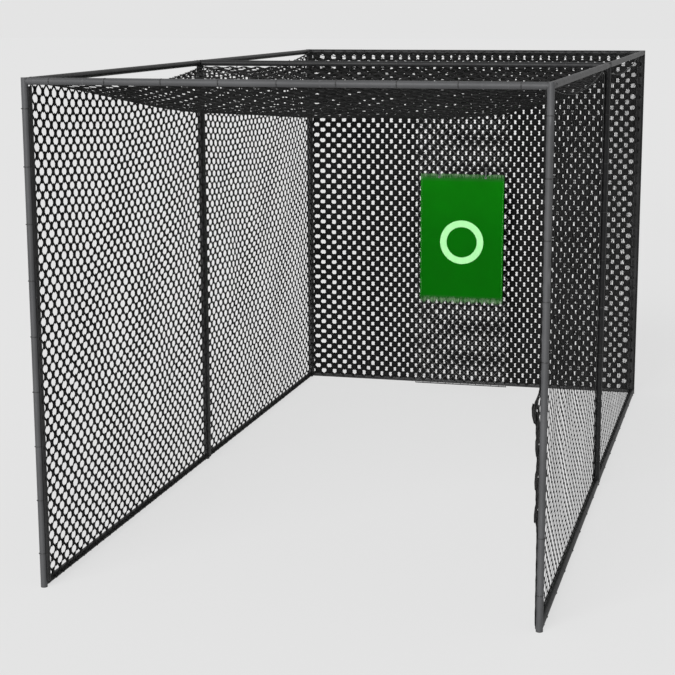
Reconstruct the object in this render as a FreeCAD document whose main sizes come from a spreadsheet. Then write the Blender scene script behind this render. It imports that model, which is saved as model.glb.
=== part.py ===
import FreeCAD, Part
import Sketcher
import math
import os

# A walk-in golf practice cage: a tube frame, a box of netting hung inside it,
# and an impact panel with a target sheet that hangs free in front of the back net.
# +Z is up, X runs across the open front and the ball flies along +Y.
# The origin is on the floor under the middle of the cage. All sizes are in millimetres.

V = FreeCAD.Vector
UP = V(0, 0, 1)
ACROSS = V(1, 0, 0)
ALONG = V(0, 1, 0)

os.makedirs("parts", exist_ok=True)
doc = FreeCAD.newDocument("golf_cage")

# Driving dimensions
SIZES = (
    ("rail_length", 3048, "every rail is one 10 ft tube"),
    ("tube_radius", 21.1, "outside of the frame tube"),
    ("tube_wall", 1.5, "wall of the frame tube"),
    ("rail_offset", 21.3, "post axis to the end of a rail that butts against it"),
    ("spigot_radius", 19.3, "round bar welded to a post, inside the end of a rail"),
    ("spigot_length", 60, "how far that bar reaches into the rail"),
    ("cap_thickness", 3, "welded top of a post"),
    ("foot_thickness", 4, "flange of a plug foot under a post"),
    ("plug_radius", 19.5, "stem of a plug foot, inside the post"),
    ("plug_depth", 18, "length of that stem"),
    ("rope_radius", 5, "border rope of the nets"),
    ("net_thickness", 6, "netting with its knots"),
    ("strand_width", 12, "one strand of the coarse lattice that stands for the mesh"),
    ("side_sag", 100, "how far a side seam hangs below its rail between posts"),
    ("roof_sag", 170, "how far the roof hangs below its side seams"),
    ("under_rail", 0.3, "gap between the side seam and the middle cross rail"),
    ("panel_setback", 342, "impact panel to the back end of the roof"),
    ("wire", 6, "wire of a snap hook"),
    ("hook_inner_radius", 18, "end bend of a snap hook"),
    ("hook_half_length", 24, "half the straight side of a snap hook"),
    ("slack", 0.3, "gap between a snap hook and what hangs on it"),
    ("panel_width", 852, "impact panel"),
    ("panel_floor_gap", 80, "impact panel to the floor"),
    ("notch_width", 16, "where the mesh of the impact panel leaves room for a snap hook"),
    ("notch_depth", 16, "where the mesh of the impact panel leaves room for a snap hook"),
    ("eyelet_radius", 8, "hole in the target sheet that a snap hook goes through"),
    ("eyelet_edge", 12, "cloth above that hole"),
    ("target_width", 766, "target sheet"),
    ("target_height", 1150, "target sheet"),
    ("target_thickness", 4, "target sheet"),
    ("target_gap", 16, "middle of the target sheet to the middle of the impact panel"),
    ("ring_outer_radius", 200, "pale ring sewn on the target sheet"),
    ("ring_inner_radius", 139, "pale ring sewn on the target sheet"),
    ("ring_thickness", 1, "pale ring sewn on the target sheet"),
    ("ring_drop", 38, "ring centre below the middle of the sheet"),
)

sheet = doc.addObject("Spreadsheet::Sheet", "sizes")
for row, (alias, number, note) in enumerate(SIZES, start=1):
    sheet.set(f"A{row}", alias)
    sheet.set(f"B{row}", str(number))
    sheet.set(f"C{row}", note)
    sheet.setAlias(f"B{row}", alias)
doc.recompute()

# Lattice steps of the nets, in half meshes. A gap spans two steps each way.
WIDTH_STEPS = 8
HEIGHT_STEPS = 6
BAY_STEPS = 7
LENGTH_STEPS = 2 * BAY_STEPS
PANEL_COLUMNS = 4
PANEL_ROWS = 10
# The impact panel hangs from two crossings of the last row of roof strands before the back net,
# and the target sheet hangs from two crossings of the panel net.
PANEL_HOOK_COLUMNS = (3, 5)
PANEL_HOOK_ROW = LENGTH_STEPS - 1
TARGET_HOOK_COLUMNS = (1, 3)
TARGET_HOOK_ROW = 7
FLATS = 8


def size(alias):
    return float(sheet.get(alias))


# Main places, worked out from the driving dimensions
BAY = size("rail_length") + 2 * size("rail_offset")
HALF_WIDTH = BAY / 2
HALF_LENGTH = BAY
LOW_Z = size("foot_thickness") + size("tube_radius")
TOP_Z = LOW_Z + BAY
POST_BOTTOM = size("foot_thickness")
POST_TOP = TOP_Z + size("tube_radius")
HANG = size("tube_radius") + size("rope_radius")
SEAM_X = HALF_WIDTH - HANG
SEAM_Y = HALF_LENGTH - HANG
NET_X = SEAM_X - size("rope_radius")
NET_Y = SEAM_Y - size("rope_radius")
MIDDLE_DROP = HANG + size("under_rail")

made = []


def keep(thing, label):
    thing.Label = label
    made.append(thing)
    return thing


def place(thing, point, direction=UP):
    thing.Placement = FreeCAD.Placement(point, FreeCAD.Rotation(UP, direction))
    return thing


def shape_feature(label, shape):
    feature = doc.addObject("Part::Feature", label)
    feature.Shape = shape
    return keep(feature, label)


def cylinder(name, radius, height, point, direction=UP):
    rod = doc.addObject("Part::Cylinder", name)
    rod.setExpression("Radius", radius)
    rod.setExpression("Height", height)
    return place(rod, point, direction)


# A bar with eight flats
def prism(name, radius, height, point, direction=UP):
    bar = doc.addObject("Part::Prism", name)
    bar.Polygon = FLATS
    bar.setExpression("Circumradius", radius)
    bar.setExpression("Height", height)
    return place(bar, point, direction)


def joined(name, pieces):
    union = doc.addObject("Part::MultiFuse", name)
    union.Shapes = pieces
    return union


def difference(name, base, tool):
    cut = doc.addObject("Part::Cut", name)
    cut.Base = base
    cut.Tool = tool
    return cut


def body_sketch(body, role, name):
    plane = next(f for f in body.Origin.OriginFeatures if f.Role == role)
    sketch = body.newObject("Sketcher::SketchObject", name)
    sketch.AttachmentSupport = [(plane, "")]
    sketch.MapMode = "FlatFace"
    return sketch


def bound(sketch, kind, arguments, name, expression):
    number = sketch.addConstraint(Sketcher.Constraint(kind, *arguments))
    sketch.renameConstraint(number, name)
    sketch.setExpression(f"Constraints.{name}", expression)


def circle(sketch, name, expression, first_radius):
    number = sketch.addGeometry(Part.Circle(V(0, 0, 0), UP, first_radius))
    sketch.addConstraint(Sketcher.Constraint("Coincident", number, 3, -1, 1))
    bound(sketch, "Radius", (number, first_radius), name, expression)


def pad(body, sketch, name, length, symmetric=False):
    feature = body.newObject("PartDesign::Pad", name)
    feature.Profile = sketch
    feature.Midplane = symmetric
    feature.setExpression("Length", length)
    sketch.Visibility = False
    return feature


# Rails: one drawn tube each
def add_rail(label, point, direction):
    body = doc.addObject("PartDesign::Body", label)
    section = body_sketch(body, "XY_Plane", f"{label}_section")
    circle(section, "outside", "sizes.tube_radius", size("tube_radius"))
    circle(section, "inside", "sizes.tube_radius - sizes.tube_wall", size("plug_radius"))
    pad(body, section, f"{label}_tube", "sizes.rail_length")
    place(body, point + direction * size("rail_offset"), direction)
    keep(body, label)


# Posts: an upright tube, closed on top, with a welded spigot for every rail that meets it
def add_post(label, x, y, arms):
    foot = V(x, y, POST_BOTTOM)
    tall = f"{POST_TOP - POST_BOTTOM}"
    pieces = [cylinder(f"{label}_tube", "sizes.tube_radius", tall, foot)]
    for number, (z, direction) in enumerate(arms, start=1):
        pieces.append(cylinder(f"{label}_spigot_{number}", "sizes.spigot_radius",
                               "sizes.rail_offset + sizes.spigot_length", V(x, y, z), direction))
    bore = cylinder(f"{label}_bore", "sizes.tube_radius - sizes.tube_wall",
                    f"{tall} - sizes.cap_thickness", foot)
    welded = joined(f"{label}_welded", pieces)
    keep(difference(label, welded, bore), label)


def add_frame():
    for side, sign in (("left", -1), ("right", 1)):
        x = sign * HALF_WIDTH
        inward = ACROSS * -sign
        add_post(f"post_front_{side}", x, -HALF_LENGTH,
                 ((TOP_Z, inward), (TOP_Z, ALONG), (LOW_Z, ALONG)))
        add_post(f"post_middle_{side}", x, 0,
                 ((TOP_Z, inward), (TOP_Z, ALONG), (TOP_Z, -ALONG),
                  (LOW_Z, ALONG), (LOW_Z, -ALONG)))
        add_post(f"post_back_{side}", x, HALF_LENGTH,
                 ((TOP_Z, inward), (TOP_Z, -ALONG), (LOW_Z, -ALONG)))
        for level, z in (("top", TOP_Z), ("bottom", LOW_Z)):
            add_rail(f"{level}_rail_front_{side}", V(x, -HALF_LENGTH, z), ALONG)
            add_rail(f"{level}_rail_back_{side}", V(x, 0, z), ALONG)
    for where, y in (("front", -HALF_LENGTH), ("middle", 0), ("back", HALF_LENGTH)):
        add_rail(f"cross_rail_{where}", V(-HALF_WIDTH, y, TOP_Z), ACROSS)


# Feet: a flange with an eight-sided stem that plugs into the bottom of a post
def add_feet():
    floor = V(0, 0, 0)
    flange = cylinder("foot_flange", "sizes.tube_radius", "sizes.foot_thickness", floor)
    stem = prism("foot_stem", "sizes.plug_radius", "sizes.foot_thickness + sizes.plug_depth", floor)
    foot = joined("foot_pattern", [flange, stem])
    doc.recompute()
    copies = []
    for x in (-HALF_WIDTH, HALF_WIDTH):
        for y in (-HALF_LENGTH, 0, HALF_LENGTH):
            copies.append(foot.Shape.translated(V(x, y, 0)))
    shape_feature("post_feet", Part.makeCompound(copies))


# Stations of the lattice along Y: even steps, but for the first and the last
def station(row):
    if row == 0:
        return -NET_Y
    if row == LENGTH_STEPS:
        return NET_Y
    return (row - BAY_STEPS) * (NET_Y - size("panel_setback")) / (BAY_STEPS - 1)


# How the net hangs: each seam sags between posts, and the roof sags further in mid bay
def bay_share(y):
    share = (abs(y) % SEAM_Y) / SEAM_Y
    return 4 * share * (1 - share)


def seam_z(y):
    hung = TOP_Z - MIDDLE_DROP * (1 - abs(y) / SEAM_Y)
    return hung - size("side_sag") * bay_share(y)


def roof_z(x, y):
    across = 1 - abs(x / NET_X) ** 4
    return seam_z(y) - size("roof_sag") * bay_share(y) * across


# Border ropes, with eight flats each
def add_straight_rope(label, start, direction, length):
    keep(prism(label, "sizes.rope_radius", f"{length}", start, direction), label)


def add_side_seam(label, x):
    points = [V(x, station(row) * SEAM_Y / NET_Y, 0) for row in range(LENGTH_STEPS + 1)]
    for point in points:
        point.z = seam_z(point.y)
    corners = []
    for side in range(FLATS + 1):
        angle = 2 * math.pi * side / FLATS
        corners.append(V(math.cos(angle), math.sin(angle), 0) * size("rope_radius"))
    section = Part.makePolygon(corners)
    section.Placement = FreeCAD.Placement(points[0], FreeCAD.Rotation(UP, points[1] - points[0]))
    shape_feature(label, Part.makePolygon(points).makePipeShell([section], True, False, 1))


def add_ropes():
    rope = size("rope_radius")
    for side, sign in (("left", -1), ("right", 1)):
        x = sign * SEAM_X
        add_side_seam(f"seam_rope_top_{side}", x)
        add_straight_rope(f"rope_bottom_{side}", V(x, -SEAM_Y, LOW_Z), ALONG, 2 * SEAM_Y)
        for where, y in (("front", -SEAM_Y), ("back", SEAM_Y)):
            add_straight_rope(f"rope_{where}_{side}", V(x, y, LOW_Z + rope), UP,
                              TOP_Z - LOW_Z - 2 * rope)
    for where, y in (("front", -SEAM_Y), ("back", SEAM_Y)):
        add_straight_rope(f"rope_top_{where}", V(-SEAM_X + rope, y, TOP_Z), ACROSS,
                          2 * (SEAM_X - rope))
    add_straight_rope("rope_bottom_back", V(-SEAM_X + rope, SEAM_Y, LOW_Z), ACROSS,
                      2 * (SEAM_X - rope))


# Netting: a sheet with one diamond gap for every second point of a lattice.
# A gap on a border that is bent there takes in the border point as well.
def lattice_gaps(columns, rows, bent_row=None):
    gaps = []
    for column in range(columns + 1):
        for row in range(rows + 1):
            if (column + row) % 2 == 0:
                continue
            around = ((column - 1, row), (column, row - 1), (column + 1, row), (column, row + 1))
            corners = [(i, j) for i, j in around if 0 <= i <= columns and 0 <= j <= rows]
            if row == bent_row:
                corners.append((column, row))
            gaps.append(corners)
    return gaps


# Moves every side of a flat outline inwards; the outline runs round the normal by the right hand
def narrowed(points, normal, distance):
    if sum((b - a).cross(c - b).dot(normal) for a, b, c in
           zip(points, points[1:] + points[:1], points[2:] + points[:2])) < 0:
        points = points[::-1]
    moved = []
    for before, here, after in zip(points[-1:] + points[:-1], points, points[1:] + points[:1]):
        first = normal.cross(here - before).normalize()
        second = normal.cross(after - here).normalize()
        moved.append(here + (first + second) * (distance / (1 + first.dot(second))))
    return moved


def polygon_face(points):
    return Part.Face(Part.makePolygon(points + points[:1]))


def flat_net(outline, gaps, normal):
    edge = size("strand_width") / 2
    half = normal * (size("net_thickness") / 2)
    rims = [Part.makePolygon(outline + outline[:1])]
    for gap in gaps:
        hole = narrowed(gap, normal, edge)
        rims.append(Part.makePolygon(hole + hole[:1]))
    face = Part.makeFace(rims, "Part::FaceMakerBullseye")
    face.translate(-half)
    return face.extrude(half * 2)


# A side wall: its top edge follows the sagging seam
def add_side_net(label, x):
    low = LOW_Z + size("rope_radius")

    def point(column, row):
        y = station(column)
        high = seam_z(y) - size("rope_radius") - size("under_rail")
        return V(x, y, low + (high - low) * row / HEIGHT_STEPS)

    outline = [point(0, 0), point(LENGTH_STEPS, 0)]
    outline += [point(column, HEIGHT_STEPS) for column in range(LENGTH_STEPS, -1, -1)]
    lattice = lattice_gaps(LENGTH_STEPS, HEIGHT_STEPS, HEIGHT_STEPS)
    gaps = [[point(i, j) for i, j in gap] for gap in lattice]
    shape_feature(label, flat_net(outline, gaps, ACROSS))


def add_back_net():
    low = LOW_Z + size("rope_radius")
    high = TOP_Z - size("rope_radius")

    def point(column, row):
        x = -NET_X + 2 * NET_X * column / WIDTH_STEPS
        return V(x, SEAM_Y, low + (high - low) * row / HEIGHT_STEPS)

    corners = ((0, 0), (WIDTH_STEPS, 0), (WIDTH_STEPS, HEIGHT_STEPS), (0, HEIGHT_STEPS))
    outline = [point(i, j) for i, j in corners]
    gaps = [[point(i, j) for i, j in gap] for gap in lattice_gaps(WIDTH_STEPS, HEIGHT_STEPS)]
    shape_feature("net_back", flat_net(outline, gaps, ALONG))


# The roof: a sheet of small flat facets that sags both ways, with its gaps cut straight down
def roof_point(column, row):
    x = -NET_X + 2 * NET_X * column / WIDTH_STEPS
    y = station(row)
    return V(x, y, roof_z(x, y))


def add_roof_net():
    half = UP * (size("net_thickness") / 2)
    faces = []
    for column in range(WIDTH_STEPS):
        for row in range(LENGTH_STEPS):
            a = roof_point(column, row)
            b = roof_point(column + 1, row)
            c = roof_point(column + 1, row + 1)
            d = roof_point(column, row + 1)
            facets = ((a, b, d), (b, c, d)) if (column + row) % 2 else ((a, b, c), (a, c, d))
            for facet in facets:
                faces.append(polygon_face([corner + half for corner in facet]))
                faces.append(polygon_face([corner - half for corner in facet[::-1]]))
    rim = [roof_point(column, 0) for column in range(WIDTH_STEPS)]
    rim += [roof_point(WIDTH_STEPS, row) for row in range(LENGTH_STEPS)]
    rim += [roof_point(column, LENGTH_STEPS) for column in range(WIDTH_STEPS, 0, -1)]
    rim += [roof_point(0, row) for row in range(LENGTH_STEPS, 0, -1)]
    for start, end in zip(rim, rim[1:] + rim[:1]):
        faces.append(polygon_face([start - half, end - half, end + half, start + half]))
    cloth = Part.Solid(Part.Shell(faces))
    depth = 2 * (size("side_sag") + size("roof_sag"))
    tools = []
    for gap in lattice_gaps(WIDTH_STEPS, LENGTH_STEPS):
        flat = [V(p.x, p.y, TOP_Z - depth) for p in (roof_point(i, j) for i, j in gap)]
        hole = narrowed(flat, UP, size("strand_width") / 2)
        tools.append(polygon_face(hole).extrude(UP * 2 * depth))
    net = cloth.cut(Part.makeCompound(tools))
    shape_feature("net_roof", net.Solids[0])


# Snap hooks: an oval of wire, here without its gate, that stands in a Y-Z plane
def oval_rim(radius):
    reach = size("hook_half_length")
    top = Part.Arc(V(0, radius, reach), V(0, 0, reach + radius), V(0, -radius, reach))
    bottom = Part.Arc(V(0, -radius, -reach), V(0, 0, -reach - radius), V(0, radius, -reach))
    left = Part.LineSegment(V(0, -radius, reach), V(0, -radius, -reach))
    right = Part.LineSegment(V(0, radius, -reach), V(0, radius, reach))
    return Part.Wire([side.toShape() for side in (top, left, bottom, right)])


def add_snap_hooks(label, centres):
    inner = size("hook_inner_radius")
    rims = [oval_rim(inner + size("wire")), oval_rim(inner)]
    face = Part.makeFace(rims, "Part::FaceMakerBullseye")
    face.translate(ACROSS * (-size("wire") / 2))
    hook = face.extrude(ACROSS * size("wire"))
    shape_feature(label, Part.makeCompound([hook.translated(centre) for centre in centres]))


# Height of the inner edge of a hook's end bend above the bend's centre, at a sideways distance
def bend_height(sideways):
    return math.sqrt(size("hook_inner_radius") ** 2 - sideways ** 2)


# How far a strand crossing reaches along one lattice direction, beside its middle
def crossing_reach(step_across, step_along, beside):
    slope = step_along / step_across
    return size("strand_width") / 2 * math.hypot(1, slope) + beside * slope


# Steepest slope of the roof along Y where a hook hangs on it
def roof_slope(column, row):
    before, here, after = (roof_point(column, row + step) for step in (-1, 0, 1))
    falling = abs(here.z - before.z) / (here.y - before.y)
    rising = abs(after.z - here.z) / (after.y - here.y)
    return max(falling, rising)


# Impact panel: a net between a top rope and a weight rope, hung on two snap hooks from the roof
HALF_WIRE = size("wire") / 2
HALF_NET = size("net_thickness") / 2
PANEL_Y = station(PANEL_HOOK_ROW)
PANEL_HOOK_X = [roof_point(column, 0).x for column in PANEL_HOOK_COLUMNS]
ROOF_AT_HOOK = roof_point(PANEL_HOOK_COLUMNS[0], PANEL_HOOK_ROW).z
ROOF_REACH = crossing_reach(2 * NET_X / WIDTH_STEPS, PANEL_Y - station(PANEL_HOOK_ROW - 1), HALF_WIRE)
ROOF_RISE = ROOF_REACH * roof_slope(PANEL_HOOK_COLUMNS[0], PANEL_HOOK_ROW)
PANEL_HOOK_Z = (ROOF_AT_HOOK + HALF_NET + ROOF_RISE + size("slack")
                - size("hook_half_length") - bend_height(ROOF_REACH))
PANEL_PIVOT_Z = (PANEL_HOOK_Z - size("hook_half_length") - size("hook_inner_radius")
                 + size("rope_radius") + size("slack"))
PANEL_NET_TOP = PANEL_PIVOT_Z - size("rope_radius")
PANEL_NET_LOW = size("panel_floor_gap") + 2 * size("rope_radius")
PANEL_STEP = size("panel_width") / PANEL_COLUMNS
PANEL_RISE = (PANEL_NET_TOP - PANEL_NET_LOW) / PANEL_ROWS


def panel_point(column, row):
    x = -size("panel_width") / 2 + PANEL_STEP * column
    return V(x, PANEL_Y, PANEL_NET_LOW + PANEL_RISE * row)


def add_impact_panel():
    add_snap_hooks("panel_hooks", [V(x, PANEL_Y, PANEL_HOOK_Z) for x in PANEL_HOOK_X])
    corners = ((0, 0), (PANEL_COLUMNS, 0), (PANEL_COLUMNS, PANEL_ROWS), (0, PANEL_ROWS))
    outline = [panel_point(i, j) for i, j in corners]
    gaps = [[panel_point(i, j) for i, j in gap] for gap in lattice_gaps(PANEL_COLUMNS, PANEL_ROWS)]
    wide, deep = size("notch_width"), size("notch_depth")
    notches = []
    for x in PANEL_HOOK_X:
        corner = V(x - wide / 2, PANEL_Y - HALF_NET, PANEL_NET_TOP - deep)
        notches.append(Part.makeBox(wide, 2 * HALF_NET, deep, corner))
    net = flat_net(outline, gaps, ALONG).cut(Part.makeCompound(notches))
    shape_feature("panel_net", net.Solids[0])
    side = -size("panel_width") / 2
    weight_z = PANEL_NET_LOW - size("rope_radius")
    for label, z in (("panel_top_rope", PANEL_PIVOT_Z), ("panel_weight_rope", weight_z)):
        add_straight_rope(label, V(side, PANEL_Y, z), ACROSS, size("panel_width"))


# Target: a sheet with a sewn ring, hung on two snap hooks in front of the impact panel.
# A hook's flat wire meets the round eyelet beside its crown, a little lower than the crown.
TARGET_Y = PANEL_Y - size("target_gap")
TARGET_HOOK_X = [panel_point(column, 0).x for column in TARGET_HOOK_COLUMNS]
TARGET_HOOK_Y = PANEL_Y - size("target_gap") / 2
CROSSING_TOP = (panel_point(0, TARGET_HOOK_ROW).z
                + crossing_reach(PANEL_STEP, PANEL_RISE, HALF_WIRE))
HOOK_SIDE = size("target_gap") / 2 + HALF_NET
TARGET_HOOK_Z = CROSSING_TOP + size("slack") - size("hook_half_length") - bend_height(HOOK_SIDE)
EYELET_CROWN = size("eyelet_radius") - math.sqrt(size("eyelet_radius") ** 2 - HALF_WIRE ** 2)
TARGET_PIVOT_Z = (TARGET_HOOK_Z - size("hook_half_length")
                  - bend_height(HOOK_SIDE) + size("slack") + EYELET_CROWN)
TARGET_TOP = TARGET_PIVOT_Z + size("eyelet_edge")


def add_target_sheet():
    body = doc.addObject("PartDesign::Body", "target_sheet")
    outline = body_sketch(body, "XZ_Plane", "sheet_outline")
    right = size("target_width") / 2
    tall = size("target_height")
    corners = [V(-right, -tall, 0), V(right, -tall, 0), V(right, 0, 0), V(-right, 0, 0)]
    for start, end in zip(corners, corners[1:] + corners[:1]):
        outline.addGeometry(Part.LineSegment(start, end))
    for side in range(4):
        outline.addConstraint(Sketcher.Constraint("Coincident", side, 2, (side + 1) % 4, 1))
        outline.addConstraint(Sketcher.Constraint("Vertical" if side % 2 else "Horizontal", side))
    outline.addConstraint(Sketcher.Constraint("PointOnObject", 2, 1, -1))
    bound(outline, "DistanceX", (0, 1, 0, 2, 2 * right), "width", "sizes.target_width")
    bound(outline, "DistanceY", (1, 1, 1, 2, tall), "height", "sizes.target_height")
    bound(outline, "DistanceX", (-1, 1, 2, 1, right), "middle", "sizes.target_width / 2")
    pad(body, outline, "sheet_cloth", "sizes.target_thickness", symmetric=True)

    ring = body_sketch(body, "XZ_Plane", "ring_outline")
    middle = V(0, -tall / 2 - size("ring_drop"), 0)
    for number, edge in enumerate(("ring_outer_radius", "ring_inner_radius")):
        ring.addGeometry(Part.Circle(middle, UP, size(edge)))
        ring.addConstraint(Sketcher.Constraint("PointOnObject", number, 3, -2))
        bound(ring, "Radius", (number, size(edge)), edge, f"sizes.{edge}")
        bound(ring, "DistanceY", (number, 3, -1, 1, -middle.y), f"{edge}_height",
              "sizes.target_height / 2 + sizes.ring_drop")
    pad(body, ring, "sewn_ring", "sizes.target_thickness / 2 + sizes.ring_thickness")
    doc.recompute()

    before = body.Shape.Volume
    holes = body_sketch(body, "XZ_Plane", "eyelet_outline")
    drop = size("eyelet_edge") + size("eyelet_radius")
    for number, x in enumerate(TARGET_HOOK_X):
        holes.addGeometry(Part.Circle(V(x, -drop, 0), UP, size("eyelet_radius")))
        holes.addConstraint(Sketcher.Constraint("DistanceX", -1, 1, number, 3, x))
        bound(holes, "Radius", (number, size("eyelet_radius")), f"eyelet_{number}",
              "sizes.eyelet_radius")
        bound(holes, "DistanceY", (number, 3, -1, 1, drop), f"eyelet_drop_{number}",
              "sizes.eyelet_edge + sizes.eyelet_radius")
    eyelets = body.newObject("PartDesign::Pocket", "eyelets")
    eyelets.Profile = holes
    eyelets.Midplane = True
    eyelets.setExpression("Length", "2 * sizes.target_thickness")
    holes.Visibility = False
    place(body, V(0, TARGET_Y, TARGET_TOP))
    doc.recompute()
    cut_away = len(TARGET_HOOK_X) * math.pi * size("eyelet_radius") ** 2 * size("target_thickness")
    if abs(before - body.Shape.Volume - cut_away) > 1:
        raise ValueError("the eyelets took away the wrong volume")
    keep(body, "target_sheet")


def add_target():
    add_snap_hooks("target_hooks", [V(x, TARGET_HOOK_Y, TARGET_HOOK_Z) for x in TARGET_HOOK_X])
    add_target_sheet()


def main():
    add_frame()
    add_feet()
    add_ropes()
    add_side_net("net_left", -SEAM_X)
    add_side_net("net_right", SEAM_X)
    add_back_net()
    add_roof_net()
    add_impact_panel()
    add_target()
    doc.recompute()
    for thing in doc.Objects:
        if "Invalid" in thing.State or "Error" in thing.State:
            raise ValueError(f"{thing.Name} failed: {thing.State}")
    for thing in made:
        shape = thing.Shape
        if shape.isNull() or not shape.isValid():
            raise ValueError(f"{thing.Label} has no valid shape")
        shape.exportStep(f"parts/{thing.Label}.step")
        print(thing.Label, len(shape.Solids), round(shape.Volume))
    print("panel pivot", PANEL_Y, PANEL_PIVOT_Z, "target pivot", TARGET_Y, TARGET_PIVOT_Z)
    print("roof low point", min(roof_point(WIDTH_STEPS // 2, row).z for row in range(LENGTH_STEPS)))


main()
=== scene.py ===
import math

import bpy
import numpy as np
from mathutils import Matrix, Vector


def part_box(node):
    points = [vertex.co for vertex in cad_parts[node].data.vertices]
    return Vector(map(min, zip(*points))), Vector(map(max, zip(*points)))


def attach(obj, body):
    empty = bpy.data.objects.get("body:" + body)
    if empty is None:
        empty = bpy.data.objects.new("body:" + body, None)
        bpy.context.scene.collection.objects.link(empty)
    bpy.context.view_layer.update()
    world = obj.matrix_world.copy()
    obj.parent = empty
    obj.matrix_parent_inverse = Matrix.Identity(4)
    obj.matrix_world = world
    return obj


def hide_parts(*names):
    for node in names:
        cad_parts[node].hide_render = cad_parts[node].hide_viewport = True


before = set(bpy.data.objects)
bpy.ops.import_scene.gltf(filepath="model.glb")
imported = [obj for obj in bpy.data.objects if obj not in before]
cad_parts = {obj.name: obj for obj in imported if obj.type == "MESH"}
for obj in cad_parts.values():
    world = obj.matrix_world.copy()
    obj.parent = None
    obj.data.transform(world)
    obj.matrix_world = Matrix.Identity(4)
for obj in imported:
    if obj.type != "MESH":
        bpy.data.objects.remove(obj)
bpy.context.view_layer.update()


# Places and sizes, in metres

def middle(node, axis):
    low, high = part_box(node)
    return (low[axis] + high[axis]) / 2


def extent(node, axis):
    low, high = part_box(node)
    return high[axis] - low[axis]


TUBE_R = extent("top_rail_front_left", 0) / 2
HALF_WIDTH = -middle("top_rail_front_left", 0)
HALF_LENGTH = -middle("cross_rail_front", 1)
TOP_Z = middle("top_rail_front_left", 2)
LOW_Z = middle("bottom_rail_front_left", 2)
SPIGOT_R = 0.0193
ROPE_R = extent("rope_bottom_left", 2) / 2
SEAM_X = -middle("rope_bottom_left", 0)
SEAM_Y = -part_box("rope_bottom_left")[0].y
NET_X = SEAM_X - ROPE_R
NET_Y = SEAM_Y - ROPE_R
ROPE_APART = HALF_WIDTH - SEAM_X
SIDE_SAG = 0.100
ROOF_SAG = 0.170
CLEARANCE = 0.0003
MIDDLE_DROP = ROPE_APART + CLEARANCE

PANEL_Y = middle("panel_weight_rope", 1)
PANEL_HALF = extent("panel_weight_rope", 0) / 2
PANEL_TOP = middle("panel_top_rope", 2)
PANEL_LOW = middle("panel_weight_rope", 2)
WIRE_R = 0.003
PANEL_HOOK_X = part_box("panel_hooks")[1].x - WIRE_R

TARGET_LOW, TARGET_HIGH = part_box("target_sheet")
TARGET_HALF = (TARGET_HIGH.x - TARGET_LOW.x) / 2
CLOTH_SETBACK = 0.002
TARGET_Y = TARGET_HIGH.y - CLOTH_SETBACK
EYELET_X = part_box("target_hooks")[1].x - WIRE_R
EYELET_DROP = 0.020
EYELET_Z = TARGET_HIGH.z - EYELET_DROP
EYELET_R = 0.008
RING_OUTER = 0.200
RING_INNER = 0.139
RING_DROP = 0.038
RING_Z = (TARGET_LOW.z + TARGET_HIGH.z) / 2 - RING_DROP


def bay_share(y):
    """0 at the posts and 1 in the middle of each bay."""
    share = (np.abs(y) % SEAM_Y) / SEAM_Y
    return 4 * share * (1 - share)


def seam_z(y):
    """Height of the side seams, which hang below the rail at the middle posts and sag between posts."""
    hung = TOP_Z - MIDDLE_DROP * (1 - np.abs(y) / SEAM_Y)
    return hung - SIDE_SAG * bay_share(y)


def roof_z(x, y):
    across = 1 - np.minimum(np.abs(x / NET_X), 1) ** 4
    return seam_z(y) - ROOF_SAG * bay_share(y) * across


# Materials

WEAVE_SCALE = 330.0


def grey(value):
    return (value, value, value)


def add_node(tree, kind, *sources, **values):
    """A new node, with outputs linked to its first sockets and plain values in the ones named."""
    node = tree.nodes.new("ShaderNode" + kind)
    for source, socket in zip(sources, node.inputs):
        tree.links.new(source, socket)
    for key, value in values.items():
        node.inputs[key.replace("_", " ")].default_value = value
    return node


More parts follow.
